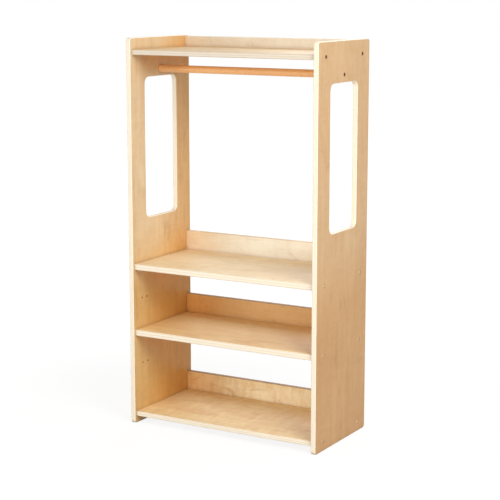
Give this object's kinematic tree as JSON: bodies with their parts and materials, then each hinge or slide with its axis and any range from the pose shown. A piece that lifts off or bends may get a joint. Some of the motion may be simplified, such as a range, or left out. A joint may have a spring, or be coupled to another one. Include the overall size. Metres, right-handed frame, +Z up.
{
  "type": "kids clothing rack",
  "caption": "Open birch plywood clothing rack for a child: windowed side panels, a hanging rod under a top tray, and shelves with low back rails below.",
  "frame": {"origin": "on the floor under the middle of the rack", "axes": "+Z up, +Y to the back, +X to the right as seen from the open front"},
  "size_m": [0.63, 0.318, 1.158],
  "materials": {
    "panel_ply": "clear satin lacquer",
    "shelf_ply": "clear satin lacquer",
    "rail_ply": "clear satin lacquer",
    "rod_wood": "clear satin lacquer",
    "dowel_wood": "bare",
    "screw_metal": "dark bronze plated"
  },
  "bodies": {
    "root": {"left_side_panel": "panel_ply", "right_side_panel": "panel_ply", "bottom_shelf": "shelf_ply", "bottom_back_rail": "rail_ply", "bottom_shelf_screws": "screw_metal", "bottom_shelf_dowels": "dowel_wood", "bottom_rail_dowels": "dowel_wood", "lower_shelf": "shelf_ply", "lower_back_rail": "rail_ply", "lower_shelf_screws": "screw_metal", "lower_shelf_dowels": "dowel_wood", "lower_rail_dowels": "dowel_wood", "middle_shelf": "shelf_ply", "middle_back_rail": "rail_ply", "middle_shelf_screws": "screw_metal", "middle_shelf_dowels": "dowel_wood", "middle_rail_dowels": "dowel_wood", "top_shelf": "shelf_ply", "top_back_rail": "rail_ply", "top_shelf_screws": "screw_metal", "top_shelf_dowels": "dowel_wood", "top_rail_dowels": "dowel_wood", "hanging_rod": "rod_wood", "rod_screws": "screw_metal"}
  },
  "joints": []
}
